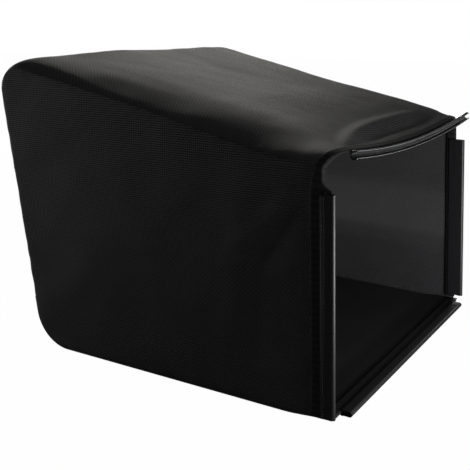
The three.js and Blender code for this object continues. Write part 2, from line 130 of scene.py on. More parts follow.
SWEEP_REACH, SWEEP_HEIGHT = 6, -0.0006
sweep_mesh = bpy.data.meshes.new("sweep")
sweep_mesh.from_pydata([(x * SWEEP_REACH, y * SWEEP_REACH, SWEEP_HEIGHT)
                        for x, y in ((-1, -1), (1, -1), (1, 1), (-1, 1))], [], [(0, 1, 2, 3)])
sweep = bpy.data.objects.new("sweep", sweep_mesh)
bpy.context.scene.collection.objects.link(sweep)
sweep_material, tree = new_material("white_paper_sweep")
paper = add_node(tree, "ShaderNodeBsdfDiffuse", {"Color": linear("#4c4c4c")})
lit_paper = add_node(tree, "ShaderNodeEmission", {"Color": linear("#ffffff"), "Strength": 1.04})
seen = add_node(tree, "ShaderNodeLightPath")
share = add_node(tree, "ShaderNodeMath", {0: seen.outputs["Is Camera Ray"], 1: 0.95},
                 operation="MULTIPLY")
finish_material(tree, add_node(tree, "ShaderNodeMixShader",
                               {0: share.outputs[0], 1: paper.outputs[0], 2: lit_paper.outputs[0]}))
sweep.data.materials.append(sweep_material)


# The bag's outline: the seam line of a side panel, from the top of the mouth over the rear to
# the foot of the mouth, cut with two round corners. Sizes in millimetres, as the panels are cut;
# the mouth's lowest front edge is y = 0 and the floor is z = 0.
MOUTH_WIDTH, MOUTH_HEIGHT, MOUTH_LEAN = 402.0, 251.0, 22.0
FLOOR_LENGTH, REAR_LEAN, REAR_HEIGHT = 396.0, 36.0, 336.0
REAR_FOOT_WIDTH, REAR_TOP_WIDTH = 430.0, 440.0
REAR_FOOT_RADIUS, REAR_TOP_RADIUS, REAR_SEAM_HEIGHT = 45.0, 26.0, 60.0
LEFT_TOP_FRONT, LEFT_FOOT_FRONT, RIGHT_FOOT_FRONT = 18.0, 8.5, 5.0
EDGE_SETBACK, FLOOR_RISE, FLOOR_RAMP = 12.8, 2.9, 64.0
TAPE_SETBACK, TAPE_WIDTH, TOP_TAPE_SETBACK = 11.5, 14.0, 7.0
TAPE_END = TAPE_SETBACK + TAPE_WIDTH
CORNER_START, CORNER_POWER = 0.84, 12
BODY_LENGTH = FLOOR_LENGTH + REAR_LEAN
TOP_SLOPE = (REAR_HEIGHT - MOUTH_HEIGHT) / (BODY_LENGTH - MOUTH_LEAN)
FRONT_Y_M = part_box("floor_hook_channel")[0].y


def smooth(value, low, high):
    share = np.clip((value - low) / (high - low), 0, 1)
    return share * share * (3 - 2 * share)


def mix(a, b, share):
    return a + (b - a) * share


def unit(vectors):
    return vectors / np.maximum(np.linalg.norm(vectors, axis=-1, keepdims=True), 1e-12)


def round_corner(before, corner, after, radius):
    to_before, to_after = unit(before - corner), unit(after - corner)
    half = math.acos(float(to_before @ to_after)) / 2
    start = corner + to_before * radius / math.tan(half)
    end = corner + to_after * radius / math.tan(half)
    centre = corner + unit(to_before + to_after) * radius / math.sin(half)
    a0 = math.atan2(*(start - centre)[::-1])
    a1 = math.atan2(*(end - centre)[::-1])
    angles = np.linspace(a0, a1 - math.tau if a1 > a0 else a1, 48)
    return centre + radius * np.stack([np.cos(angles), np.sin(angles)], 1)


TOP_FRONT = np.array([MOUTH_LEAN + EDGE_SETBACK, MOUTH_HEIGHT + TOP_SLOPE * EDGE_SETBACK])
TOP_REAR = np.array([BODY_LENGTH, REAR_HEIGHT])
FOOT_REAR = np.array([FLOOR_LENGTH, 0.0])
FOOT_FRONT = np.array([EDGE_SETBACK, 0.0])
top_corner = round_corner(TOP_FRONT, TOP_REAR, FOOT_REAR, REAR_TOP_RADIUS)
foot_corner = round_corner(TOP_REAR, FOOT_REAR, FOOT_FRONT, REAR_FOOT_RADIUS)
seam_line = np.concatenate([[TOP_FRONT], top_corner, foot_corner, [FOOT_FRONT]])
seam_reach = np.concatenate([[0], np.cumsum(np.linalg.norm(np.diff(seam_line, axis=0), axis=1))])
TOP_END, TOP_CORNER_END = seam_reach[1], seam_reach[48]
REAR_END, FOOT_CORNER_END, SEAM_END = seam_reach[49], seam_reach[96], seam_reach[97]
REAR_SEAM_AT = REAR_END - (REAR_SEAM_HEIGHT - foot_corner[0][1])


def seam_point(distance):
    return (np.interp(distance, seam_reach, seam_line[:, 0]),
            np.interp(distance, seam_reach, seam_line[:, 1]))


def seam_out(distance):
    """The direction out of the bag, square to the seam line, as y and z."""
    step = 2.0
    y0, z0 = seam_point(np.maximum(distance - step, 0))
    y1, z1 = seam_point(np.minimum(distance + step, SEAM_END))
    out = unit(np.stack([-(z1 - z0), y1 - y0], -1))
    return out[..., 0], out[..., 1]


def half_width(y, z):
    return mix(MOUTH_WIDTH, mix(REAR_FOOT_WIDTH, REAR_TOP_WIDTH, z / REAR_HEIGHT),
               y / BODY_LENGTH) / 2


def side_front_y(side, z):
    foot = LEFT_FOOT_FRONT if side < 0 else RIGHT_FOOT_FRONT
    return mix(foot, LEFT_TOP_FRONT if side < 0 else MOUTH_LEAN, z / MOUTH_HEIGHT)


def corner_share(u):
    return smooth(np.abs(u), CORNER_START, 1)


def top_front_y(u):
    corner = np.where(np.asarray(u) < 0, LEFT_TOP_FRONT, MOUTH_LEAN)
    return mix(MOUTH_LEAN, corner, corner_share(u))


def top_tape_front(u):
    return mix(TOP_TAPE_SETBACK, TAPE_SETBACK, corner_share(u))


def floor_lift(y):
    return FLOOR_RISE * (1 - smooth(y, TAPE_END, FLOOR_RAMP))


# The snap channel bends with the sag of the frame's top wire, and the fabric follows it.
SNAP_SHIFT, SNAP_BEND_RADIUS, SNAP_DROP, SNAP_TONGUE_RISE = 27.5, 1400.0, 4.8, 3.3


def channel_height(x):
    return MOUTH_HEIGHT - SNAP_DROP + (x - SNAP_SHIFT) ** 2 / (2 * SNAP_BEND_RADIUS)


def mouth_edge_lift(u):
    half = MOUTH_WIDTH / 2
    level = channel_height(u * half) + SNAP_TONGUE_RISE - MOUTH_HEIGHT
    corner = channel_height(np.sign(u) * half) + SNAP_TONGUE_RISE - MOUTH_HEIGHT
    return level - corner * np.abs(u) ** CORNER_POWER


def ripple(points, size, seed):
    """Smooth unevenness from -1 to 1, with hollows about size millimetres across."""
    flat = np.asarray(points, float).reshape(-1, 3) / size + seed
    values = [noise.noise(Vector(p)) for p in flat]
    return np.array(values).reshape(np.shape(points)[:-1])


def grid_mesh(name, points, uv, close_around=False):
    """A mesh of quads through rows of points in millimetres, with its cloth's own UV in metres."""
    rows, columns = points.shape[:2]
    corners = (points.reshape(-1, 3) * 0.001 + [0, FRONT_Y_M, 0]).tolist()
    faces = []
    last = columns if close_around else columns - 1
    for j in range(rows - 1):
        for i in range(last):
            k, n = j * columns + i, j * columns + (i + 1) % columns
            faces.append((k, n, n + columns, k + columns))
    mesh = bpy.data.meshes.new(name)
    mesh.from_pydata(corners, [], faces)
    layer = mesh.uv_layers.new(name="cloth")
    flat_uv = (uv.reshape(-1, 2) * 0.001)
    indices = np.empty(len(mesh.loops), np.int32)
    mesh.loops.foreach_get("vertex_index", indices)
    layer.data.foreach_set("uv", flat_uv[indices].astype(np.float32).ravel())
    mesh.polygons.foreach_set("use_smooth", [True] * len(mesh.polygons))
    piece = bpy.data.objects.new(name, mesh)
    bpy.context.scene.collection.objects.link(piece)
    return piece


def give_thickness(piece, thickness_mm):
    """Turns a single-skin sheet into cloth of even thickness, inwards from its outer face."""
    solid = piece.modifiers.new("thickness", "SOLIDIFY")
    solid.thickness = thickness_mm * 0.001
    solid.offset = -1
    solid.use_even_offset = False
    solid.use_quality_normals = True
    solid.material_offset = 1
    return piece


def cloth_piece(piece, material, nodes,
                inner_face=None):
    piece.data.materials.append(material)
    piece.data.materials.append(inner_face or material)
    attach(piece, "root")
    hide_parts(*nodes)


# Coated mesh of the top, rear and sides: woven polyester yarn dipped in PVC, so each thick yarn
# is a shiny black cord. The gaps between the yarns are painted near black: painted shade in the
# hollows of the weave. The yarns lie 2.3 mm apart. The inner face is duller, and is painted a
# shade lighter than the outer face: a painted brightening for the light on the inside walls. The
# weave is open enough to see light through, most of all where it is stretched, 100 to 140 mm up
# the sides. OPENNESS gives that as shares, each with its place as a share of the stretched height.
YARN_SPACING = 2.3
STRETCHED_HEIGHT = 300.0
OPENNESS = ((0.0, 0.26), (0.2, 0.33), (0.27, 0.43), (0.33, 0.6), (0.47, 0.6), (0.56, 0.46),
            (1.0, 0.47))


def woven_mesh_material(name, gap_painted_shade_colour, yarn_colour, roughness, open_share):
    material, tree = new_material(name)
    cloth = add_node(tree, "ShaderNodeUVMap", uv_map="cloth")
    per_yarn = add_node(tree, "ShaderNodeVectorMath", {0: cloth.outputs[0], 3: 1000 / YARN_SPACING},
                        operation="SCALE")
    parts = add_node(tree, "ShaderNodeSeparateXYZ", {0: per_yarn.outputs[0]})
    profile, whole = [], []
    for axis in (0, 1):
        place = add_node(tree, "ShaderNodeMath", {0: parts.outputs[axis], 1: math.pi},
                         operation="MULTIPLY")
        wave = add_node(tree, "ShaderNodeMath", {0: place.outputs[0]}, operation="SINE")
        profile.append(add_node(tree, "ShaderNodeMath", {0: wave.outputs[0]},
                                operation="ABSOLUTE"))
        whole.append(add_node(tree, "ShaderNodeMath", {0: parts.outputs[axis]},
                              operation="FLOOR"))
    total = add_node(tree, "ShaderNodeMath", {0: whole[0].outputs[0], 1: whole[1].outputs[0]},
                     operation="ADD")
    over = add_node(tree, "ShaderNodeMath", {0: total.outputs[0], 1: 2.0},
                    operation="FLOORED_MODULO")
    lengthways = add_node(tree, "ShaderNodeMath", {0: profile[0].outputs[0], 1: 0.75},
                          operation="MULTIPLY")
    yarn = add_node(tree, "ShaderNodeMix", {0: over.outputs[0], 2: lengthways.outputs[0],
                                            3: profile[1].outputs[0]})
    between = add_node(tree, "ShaderNodeMath", {0: profile[0].outputs[0], 1: 0.4},
                       operation="POWER")
    hole = add_node(tree, "ShaderNodeMath", {0: between.outputs[0], 1: profile[1].outputs[0]},
                    operation="MULTIPLY")
    height = add_node(tree, "ShaderNodeMath", {0: yarn.outputs[0], 1: hole.outputs[0]},
                      operation="MULTIPLY")
    patch = add_node(tree, "ShaderNodeTexNoise", {"Vector": cloth.outputs[0], "Scale": 26.0,
                                                  "Detail": 3.0})
    dust = add_node(tree, "ShaderNodeMapRange", {0: patch.outputs[0], 1: 0.3, 2: 0.7, 3: 0.86,
                                                 4: 1.12})
    # Where the weave's height is low, between the yarns, the colour is painted near black: painted
    # shade in the hollows of the weave.
    colour = add_node(tree, "ShaderNodeMix", {0: height.outputs[0], 6: linear(gap_painted_shade_colour),
                                              7: linear(yarn_colour)}, data_type="RGBA")
    shaded = add_node(tree, "ShaderNodeVectorMath", {0: colour.outputs[2], 3: dust.outputs[0]},
                      operation="SCALE")
    gloss = add_node(tree, "ShaderNodeMapRange", {0: height.outputs[0], 3: roughness + 0.3,
                                                  4: roughness})
    relief = add_node(tree, "ShaderNodeBump", {"Strength": 0.8, "Distance": 0.0007,
                                               "Height": height.outputs[0]})
    yarns = add_node(tree, "ShaderNodeBsdfPrincipled", {
        "Base Color": shaded.outputs[0], "Roughness": gloss.outputs[0], "IOR": 1.42,
        "Normal": relief.outputs[0]})
    holes = add_node(tree, "ShaderNodeBsdfTransparent")
    across = add_node(tree, "ShaderNodeSeparateXYZ", {0: cloth.outputs[0]})
    level = add_node(tree, "ShaderNodeMapRange", {0: across.outputs[1],
                                                  2: STRETCHED_HEIGHT * 0.001})
    stretch = add_node(tree, "ShaderNodeValToRGB", {0: level.outputs[0]})
    stretch.color_ramp.interpolation = "EASE"
    stops = stretch.color_ramp.elements
    for at, openness in OPENNESS:
        stop = stops.new(at) if 0 < at < 1 else stops[0 if at == 0 else len(stops) - 1]
        stop.color = (openness, openness, openness, 1)
    open_here = add_node(tree, "ShaderNodeMath", {0: stretch.outputs[0], 1: 2 * open_share},
                         operation="MULTIPLY")
    finish_material(tree, add_node(tree, "ShaderNodeMixShader", {
        0: open_here.outputs[0], 1: yarns.outputs[0], 2: holes.outputs[0]}))
    return material


# The first colour of each material is painted shade in the gaps between the yarns.
mesh_cloth = woven_mesh_material("pvc_coated_mesh_outer_face", "#050506", "#2d2c30", 0.44, 0.115)
# The inner face is painted a shade lighter than the outer face: a painted brightening for the light
# on the inside walls.
inner_face_painted_lighter = woven_mesh_material("pvc_coated_mesh_inner_face_painted_lighter", "#121214", "#2f2e32", 0.6, 0.115)
MESH_THICKNESS = 1.2


# Top and rear: one length of the coated mesh. It runs back from the channel, domes up over the
# rear corner and goes down the rear, and hangs in a hollow behind the channel that pulls it in.
FLAT_DEPTH, HELD_DEPTH, SAG_LENGTH, LONG_SAG = 32.5, 6.0, 76.0, 200.0
TOP_CROWN, CORNER_CROWN, REAR_CROWN = 8.0, 11.5, 8.0
LEFT_SEAM_SAG, SAG_FROM, SAG_FULL, SAG_EASES, SAG_ENDS = 4.2, 4, 36, 80, 230
RIDGE_SETBACK, RIDGE_HEIGHT, RIDGE_WIDTH = 41, 3.4, 10
HOLLOW_SHARE, HOLLOW_DEPTH, HOLLOW_WIDTH = 0.54, 4.6, 9
GATHER, GATHER_WIDTH, GATHER_SIZE = 1.1, 9, 13
SLACK, SLACK_SIZE, FINE_SLACK_SIZE = 2.0, 105, 48
MIDDLE_FULLNESS, RIGHT_FULLNESS, TOP_CLOTH_HALF, TOP_CLOTH_WIDTH = 0.8, 3.2, 215, 438.0
CROWN_FLATNESS, CROWN_POWER, LEFT_ROLL_FROM, LEFT_ROLL_RISE = 0.8, 20, 0.6, 0.5
PANEL_GAP, SEAM_TURN = 0.4, 1.8


def pillow(u, soft=0.0):
    """The crown's profile across the bag; soft is how far its left side rolls over gently."""
    even = mix(1 - u * u, 1 - np.abs(u) ** CROWN_POWER, CROWN_FLATNESS)
    roll = 1 - np.clip((-u - LEFT_ROLL_FROM) / (1 - LEFT_ROLL_FROM), 0, 1) ** 1.7
    fuller = 1 + LEFT_ROLL_RISE * (1 - smooth(u, -0.5, 0.3))
    return mix(even, np.where(u < 0, roll, even) * fuller, soft)


def crown_at(distance):
    top = mix(TOP_CROWN, CORNER_CROWN, smooth(distance, TOP_END / 2, TOP_END))
    rear = mix(CORNER_CROWN, REAR_CROWN, smooth(distance, TOP_CORNER_END, REAR_SEAM_AT))
    foot = 1 - smooth(distance, REAR_SEAM_AT, FOOT_CORNER_END)
    return np.where(distance < TOP_END, top, rear * foot)


def left_sag(distance):
    """How far the slack left seam hangs below its cut line, behind the mouth's corner."""
    drop = smooth(distance, SAG_FROM, SAG_FULL) * (1 - smooth(distance, SAG_EASES, SAG_ENDS))
    return LEFT_SEAM_SAG * drop


def strip_point(distance, u, lift=0.0):
    """A point on a strip between the side panels, and how far the fabric stands out there."""
    y, z = seam_point(distance)
    out_y, out_z = seam_out(distance)
    rolled = smooth(TOP_END - distance, 0, 130)
    crown = crown_at(distance) * pillow(u, rolled)
    slide = np.clip((distance - HELD_DEPTH) / (LONG_SAG - HELD_DEPTH), 0, 1)
    free = mix(1 - (1 - slide) ** 2.2, smooth(distance, HELD_DEPTH, SAG_LENGTH),
               smooth(np.abs(u), 0.35, 0.85))
    rise = np.where(distance > TOP_END, crown, mix(mouth_edge_lift(u), crown, free)) + lift
    x = u * (half_width(y, z) - PANEL_GAP)
    return np.stack([x, y + out_y * rise, z + out_z * rise], -1)


def crowded(count):
    return (1 - np.cos(np.pi * np.linspace(0, 1, count))) / 2


u_row = 2 * crowded(121) - 1
top_rear_to = REAR_SEAM_AT - 0.15
s_row = np.concatenate([np.linspace(0, TOP_END, 110), np.linspace(TOP_END, TOP_CORNER_END, 18)[1:],
                        np.linspace(TOP_CORNER_END, top_rear_to, 56)[1:]])
s_grid, u_grid = np.meshgrid(s_row, u_row, indexing="ij")
base = strip_point(s_grid, u_grid)
x_grid = base[..., 0]
left_of, right_of = np.maximum(0.05 - u_grid, 0), np.maximum(u_grid - 0.05, 0)
ridge_at = RIDGE_SETBACK - 58 * left_of ** 1.5 - 14 * right_of ** 2
ridge = np.exp(-((s_grid - ridge_at) / RIDGE_WIDTH) ** 2) * smooth(u_grid, -0.8, -0.5)
ridge *= 1 - smooth(u_grid, 0.45, 0.85)
hollow = np.exp(-((s_grid - ridge_at * HOLLOW_SHARE) / HOLLOW_WIDTH) ** 2)
hollow *= smooth(u_grid, -0.65, -0.1)
hollow *= 1 - 0.8 * smooth(u_grid, 0.45, 0.9)
full_middle = (1 - u_grid ** 2) ** 2 * smooth(s_grid, 30, 170) * (1 - smooth(s_grid, 260, 400))
full_right = smooth(u_grid, 0.5, 0.9) * smooth(s_grid, 0, 26) * (1 - smooth(s_grid, 70, 230))
to_seam = (1 - np.abs(u_grid)) * TOP_CLOTH_HALF
near_seam = np.exp(-to_seam / GATHER_WIDTH)
drawn_in = ripple(np.stack([x_grid * 0, s_grid, u_grid * 3], -1), GATHER_SIZE, 4.0) * near_seam
slack = ripple(np.stack([x_grid, s_grid, s_grid * 0], -1), SLACK_SIZE, 11.0)
slack += 0.35 * ripple(np.stack([x_grid * 1.5, s_grid, s_grid * 0], -1), FINE_SLACK_SIZE, 23.0)
free = smooth(s_grid, 16, 70)
folds = (RIDGE_HEIGHT * ridge * smooth(s_grid, 4, 14)
         - HOLLOW_DEPTH * hollow * smooth(s_grid, 4, 16))
folds += GATHER * drawn_in * free + SLACK * slack * free * (1 - near_seam)
folds += MIDDLE_FULLNESS * full_middle + RIGHT_FULLNESS * full_right * (1 - near_seam)
folds -= SEAM_TURN * np.exp(-to_seam / 2.5) * smooth(s_grid, 2, 20)
top_points = strip_point(s_grid, u_grid, folds)
front = 1 - smooth(s_grid, 0, FLAT_DEPTH - EDGE_SETBACK)
slack_front = 1 - smooth(s_grid, 0, FLAT_DEPTH + 62)
pull = TAPE_SETBACK - top_tape_front(u_grid)
top_points[..., 1] -= front * pull + slack_front * (MOUTH_LEAN - top_front_y(u_grid))
top_points[..., 2] -= front * pull * TOP_SLOPE
rolled_over = np.clip((-u_grid - LEFT_ROLL_FROM) / (1 - LEFT_ROLL_FROM), 0, 1) ** 1.6
top_points[..., 2] -= left_sag(s_grid) * rolled_over
top_uv = np.stack([u_grid * TOP_CLOTH_HALF, s_grid], -1)
stitch_rows = []
top_rear = give_thickness(grid_mesh("top_rear_cloth", top_points, top_uv), MESH_THICKNESS)
cloth_piece(top_rear, mesh_cloth, ["top_rear_panel"],
            inner_face=inner_face_painted_lighter)


# Side panels: each is one flat piece of the mesh with two rounded corners, slack between its
# seams, with soft folds that run down and back from the pull of the channels at the mouth.
SIDE_BULGE, SIDE_CLOTH_LENGTH, SIDE_CLOTH_HEIGHT = 5.0, 432.0, 336.0


def side_outline(a, b):
    top_middle, foot_middle = (TOP_END + TOP_CORNER_END) / 2, (REAR_END + FOOT_CORNER_END) / 2
    top = np.stack(seam_point(a * top_middle), -1)
    foot = np.stack(seam_point(mix(SEAM_END, foot_middle, a)), -1)
    rear = np.stack(seam_point(mix(foot_middle, top_middle, b)), -1)
    a, b = a[..., None], b[..., None]
    start = mix(FOOT_FRONT, TOP_FRONT, b)
    rear_foot = np.stack(seam_point(foot_middle), -1)
    rear_top = np.stack(seam_point(top_middle), -1)
    corners = mix(start, mix(rear_foot, rear_top, b), a)
    return mix(foot, top, b) + mix(start, rear, a) - corners


def fold_line(y, z, start, end, width):
    """1 along a soft fold between two points of the panel, falling away beside it."""
    along = np.array(end, float) - start
    length = np.linalg.norm(along)
    share = ((y - start[0]) * along[0] + (z - start[1]) * along[1]) / length ** 2
    off = ((y - start[0]) * along[1] - (z - start[1]) * along[0]) / length
    ends = smooth(share, -0.25, 0.2) * (1 - smooth(share, 0.75, 1.25))
    return np.exp(-(off / width) ** 2) * ends


def side_points(side, a, b):
    outline = side_outline(a, b)
    z = outline[..., 1]
    y = outline[..., 0] + (side_front_y(side, z) - MOUTH_LEAN * z / MOUTH_HEIGHT) * (1 - a)
    behind = np.clip((y - side_front_y(side, z) - FLAT_DEPTH) / (BODY_LENGTH - FLAT_DEPTH), 0, 1)
    upright = np.sin(np.pi * b) ** 0.8 * np.sin(np.pi * a) ** 0.3
    bulge = SIDE_BULGE * np.sin(np.pi * behind) ** 0.8 * upright
    edge = np.minimum(b, 1 - b) * 300
    rear_edge = (1 - a) * 400
    near = np.exp(-np.minimum(edge, rear_edge) / 10)
    place = np.stack([y * 0 + side * 40, y, z], -1)
    tack = ripple(place, 14, 31.0) * near
    wave = ripple(place, 95, 7.0) + 0.4 * ripple(place, 42, 15.0)
    if side < 0:
        folds = (3.0 * fold_line(y, z, (64, 222), (118, 168), 9)
                 - 2.4 * fold_line(y, z, (50, 214), (92, 150), 8)
                 + 2.0 * fold_line(y, z, (112, 226), (126, 60), 18)
                 - 1.6 * fold_line(y, z, (92, 190), (100, 40), 16)
                 + 1.8 * fold_line(y, z, (300, 120), (396, 40), 26)
                 - 1.4 * fold_line(y, z, (330, 250), (410, 190), 22))
    else:
        folds = (2.6 * fold_line(y, z, (40, 158), (330, 170), 24)
                 - 2.6 * fold_line(y, z, (40, 80), (330, 74), 24)
                 + 1.4 * fold_line(y, z, (300, 250), (400, 150), 30))
    loose = smooth(y - side_front_y(side, z), TAPE_END, 60) * (1 - near)
    out = bulge + (folds + 2.0 * wave) * loose + 1.0 * tack * smooth(behind * 400, 0, 30)
    out -= 1.3 * np.exp(-np.minimum(edge, rear_edge) / 2.5) * smooth(behind * 400, 2, 20)
    x = side * (half_width(y, z) + out)
    if side < 0:
        z = z - left_sag(a * (TOP_END + TOP_CORNER_END) / 2) * smooth(b, 0.6, 1)
    return np.stack([x, y, z + floor_lift(y) * (1 - b)], -1)


# The slope of the top and the two round corners leave 93% of a mean rectangle.
a_grid, b_grid = np.meshgrid(np.concatenate([[0], np.linspace(0.02, 1, 128)]), crowded(96),
                             indexing="ij")
for name, side in (("left", -1), ("right", 1)):
    points = side_points(side, a_grid, b_grid)
    if side > 0:
        points = points[::-1]
    panel = give_thickness(grid_mesh(f"{name}_side_cloth", points, points[..., 1:]), MESH_THICKNESS)
    cloth_piece(panel, mesh_cloth, [f"{name}_side_panel"],
                inner_face=inner_face_painted_lighter)


# Floor: solid cloth coated with PVC on both sides, nearly smooth, which turns up round the rear
# foot and is sewn to the mesh a hand's breadth above the ground.
FLOOR_THICKNESS, FLOOR_CLOTH_HALF, FLOOR_CLOTH_WIDTH = 1.4, 210, 422.0
FLOOR_UNEVENNESS = 0.9
floor_cloth, tree = new_material("pvc_coated_floor_cloth")
cloth = add_node(tree, "ShaderNodeUVMap", uv_map="cloth")
fine = add_node(tree, "ShaderNodeTexNoise", {"Vector": cloth.outputs[0], "Scale": 900.0,
                                             "Detail": 2.0})
broad = add_node(tree, "ShaderNodeTexNoise", {"Vector": cloth.outputs[0], "Scale": 14.0,
                                              "Detail": 4.0})
tone = add_node(tree, "ShaderNodeMix", {0: broad.outputs[0], 6: linear("#161618"),
                                        7: linear("#1e1e21")}, data_type="RGBA")
grain = add_node(tree, "ShaderNodeBump", {"Strength": 0.25, "Distance": 0.0002,
                                          "Height": fine.outputs[0]})
finish_material(tree, add_node(tree, "ShaderNodeBsdfPrincipled", {
    "Base Color": tone.outputs[2], "Roughness": 0.55, "IOR": 1.5, "Normal": grain.outputs[0]}))

floor_from = REAR_SEAM_AT + 0.15
s_row = np.concatenate([np.linspace(floor_from, REAR_END, 5),
                        np.linspace(REAR_END, FOOT_CORNER_END, 20)[1:],
                        np.linspace(FOOT_CORNER_END, SEAM_END, 90)[1:]])
s_grid, u_grid = np.meshgrid(s_row, u_row, indexing="ij")
floor_points = strip_point(s_grid, u_grid)
floor_points[..., 2] += floor_lift(floor_points[..., 1])
inner = smooth(s_grid, FOOT_CORNER_END, FOOT_CORNER_END + 40) * (1 - smooth(s_grid, SEAM_END - 60,
                                                                          SEAM_END - 30))
wave = ripple(floor_points * [1, 1, 0], 80, 51.0)
floor_points[..., 2] += inner * (1 - np.abs(u_grid) ** 10) * (FLOOR_UNEVENNESS
                                                                    + FLOOR_UNEVENNESS * wave)
floor_uv = np.stack([u_grid * FLOOR_CLOTH_HALF, s_grid], -1)
floor = give_thickness(grid_mesh("floor_cloth", floor_points, floor_uv), FLOOR_THICKNESS)
cloth_piece(floor, floor_cloth, ["floor_panel"])


# Binding tape: flat woven tape, folded over the raw edge of the mouth and sewn through. It is
# matt, and its cross rib, too fine to show, is drawn 7 mm apart. In the two top corners it is
# bunched and stands in.
RIBS_PER_METRE = 142.77


def tape_material():
    material, tree = new_material("woven_polyester_binding_tape")
    cloth = add_node(tree, "ShaderNodeUVMap", uv_map="cloth")
    ribs = add_node(tree, "ShaderNodeTexWave", {"Vector": cloth.outputs[0],
                                                "Scale": RIBS_PER_METRE * math.pi / 10,
                                                "Distortion": 0.4},
                    bands_direction="Y")
    colour = add_node(tree, "ShaderNodeMix", {0: ribs.outputs[1], 6: linear("#0d0d0f"),
                                              7: linear("#1a1a1c")}, data_type="RGBA")
    relief = add_node(tree, "ShaderNodeBump", {"Strength": 0.4, "Distance": 0.0003,
                                               "Height": ribs.outputs[1]})
    finish_material(tree, add_node(tree, "ShaderNodeBsdfPrincipled", {
        "Base Color": colour.outputs[2], "Roughness": 0.8, "IOR": 1.3,
        "Normal": relief.outputs[0]}))
    return material


tape_cloth = tape_material()
TAPE_THICKNESS, TAPE_INNER_WIDTH, CLEARANCE = 1.0, 14.0, 0.3
CORNER_FULLNESS, TAB_REACH, TAB_HEIGHT, TAB_SLOPE = 5.0, 9.5, 2.5, 3.0
TOP_TAPE_WIDTH = 9.0
LEFT_HOOK = (5.0, 229.0)
RIGHT_HOOK = (9.5, 226.0)


def side_edge(side, z):
    """A place on the mouth's side: its point, the direction back and the direction out."""
    y = side_front_y(side, z)
    flare = (half_width(y + TAPE_END, z) - half_width(y, z)) / TAPE_END
    climb = TOP_SLOPE * smooth(z, MOUTH_HEIGHT - 60, MOUTH_HEIGHT)
    back = unit(np.array([side * flare, 1, climb]))
    out = unit(np.array([side, -flare, 0]))
    return np.array([side * half_width(y, z), y, z]), back, out


def top_origin(x, y, lift):
    up_y, up_z = seam_out(0.0)
    return np.array([x, y + up_y * lift, MOUTH_HEIGHT + up_z * lift])


def top_edge(u):
    across = half_width(MOUTH_LEAN, MOUTH_HEIGHT) - MESH_THICKNESS - CLEARANCE
    flare = (half_width(MOUTH_LEAN + TAPE_END, MOUTH_HEIGHT) - across - MESH_THICKNESS) / TAPE_END
    back = unit(np.array([u * flare, 1, TOP_SLOPE]))
    before, after = max(u - 0.004, -1), min(u + 0.004, 1)
    slope = (mouth_edge_lift(after) - mouth_edge_lift(before)) / ((after - before) * across)
    out = unit(np.cross([1, 0, slope], back))
    return top_origin(u * across, float(top_front_y(u)), float(mouth_edge_lift(u))), back, out


def tape_profile(front, rear, fullness, thickness):
    """The outer face of the folded tape from its rear edge, round the front, to its inner edge."""
    top, low = TAPE_THICKNESS + CLEARANCE * 0.5, -(thickness + fullness + TAPE_THICKNESS)
    middle, radius = (top + low) / 2, (top - low) / 2
    nose = min(radius, 2.6)
    bend = [(front + nose - nose * math.sin(t), middle + radius * math.cos(t))
            for t in np.linspace(0, math.pi, 13)]
    outer = [(mix(rear, front + nose, t), top) for t in np.linspace(0, 0.85, 5)]
    inner = [(mix(front + nose, front + TAPE_INNER_WIDTH, t), low) for t in (0.35, 0.7, 1.0)]
    return np.array(outer + bend + inner)


def sweep_profile(name, stations, close_around=False):
    """A piece swept through stations of (origin, back, out, profile), all in millimetres."""
    points, lengths, walked = [], [], 0.0
    middle = len(stations) // 2
    origin, back, out, profile = stations[middle]
    ahead = stations[middle + 1][0] - origin
    inwards = profile.mean(axis=0) - profile[len(profile) // 2]
    step = profile[len(profile) // 2 + 1] - profile[len(profile) // 2]
    facing = np.cross(back * step[0] + out * step[1], ahead)
    turn = -1 if facing @ (back * inwards[0] + out * inwards[1]) > 0 else 1
    for index, (origin, back, out, profile) in enumerate(stations):
        if index:
            walked += np.linalg.norm(origin - stations[index - 1][0])
        points.append([origin + back * d + out * n for d, n in profile[::turn]])
        lengths.append(walked)
    points = np.array(points)
    round_it = np.concatenate([np.zeros((len(points), 1)), np.cumsum(
        np.linalg.norm(np.diff(points, axis=1), axis=2), axis=1)], 1)
    uv = np.stack([round_it, np.repeat(np.array(lengths)[:, None], points.shape[1], 1)], -1)
    return grid_mesh(name, points, uv, close_around)


stitch_rows.append(np.array([
    origin + back * (TOP_TAPE_SETBACK + TOP_TAPE_WIDTH - 2) + out * (TAPE_THICKNESS + CLEARANCE)
    for origin, back, out in (top_edge(u) for u in np.linspace(-0.82, 0.82, 90))]))
tape_foot = FLOOR_RISE + FLOOR_THICKNESS + TAPE_THICKNESS + 3 * CLEARANCE


def side_tape(side, tab_foot, reach):
    heights = ([(z, 0.0) for z in np.linspace(tape_foot, tab_foot - 0.15, 50)]
               + [(tab_foot, reach), (tab_foot + TAB_HEIGHT, reach * 0.9),
                  (tab_foot + TAB_HEIGHT + TAB_SLOPE, reach * 0.1)]
               + [(z, 0.0) for z in np.linspace(tab_foot + 8, MOUTH_HEIGHT - 1.0, 14)])
    stations = []
    for z, stands_out in heights:
        share = float(smooth(z, tab_foot, MOUTH_HEIGHT))
        origin, back, out = side_edge(side, z)
        stations.append((origin, back, out, tape_profile(
            TAPE_SETBACK - stands_out, mix(TAPE_END, TAPE_SETBACK + TOP_TAPE_WIDTH, share),
            CORNER_FULLNESS * share, MESH_THICKNESS)))
    return stations


def seam_station(side):
    origin, back, out = side_edge(side, MOUTH_HEIGHT)
    above = top_edge(float(side))
    return (origin, unit(back + above[1]), unit(out + above[2]),
            tape_profile(TAPE_SETBACK, TAPE_SETBACK + TOP_TAPE_WIDTH, CORNER_FULLNESS,
                         MESH_THICKNESS))


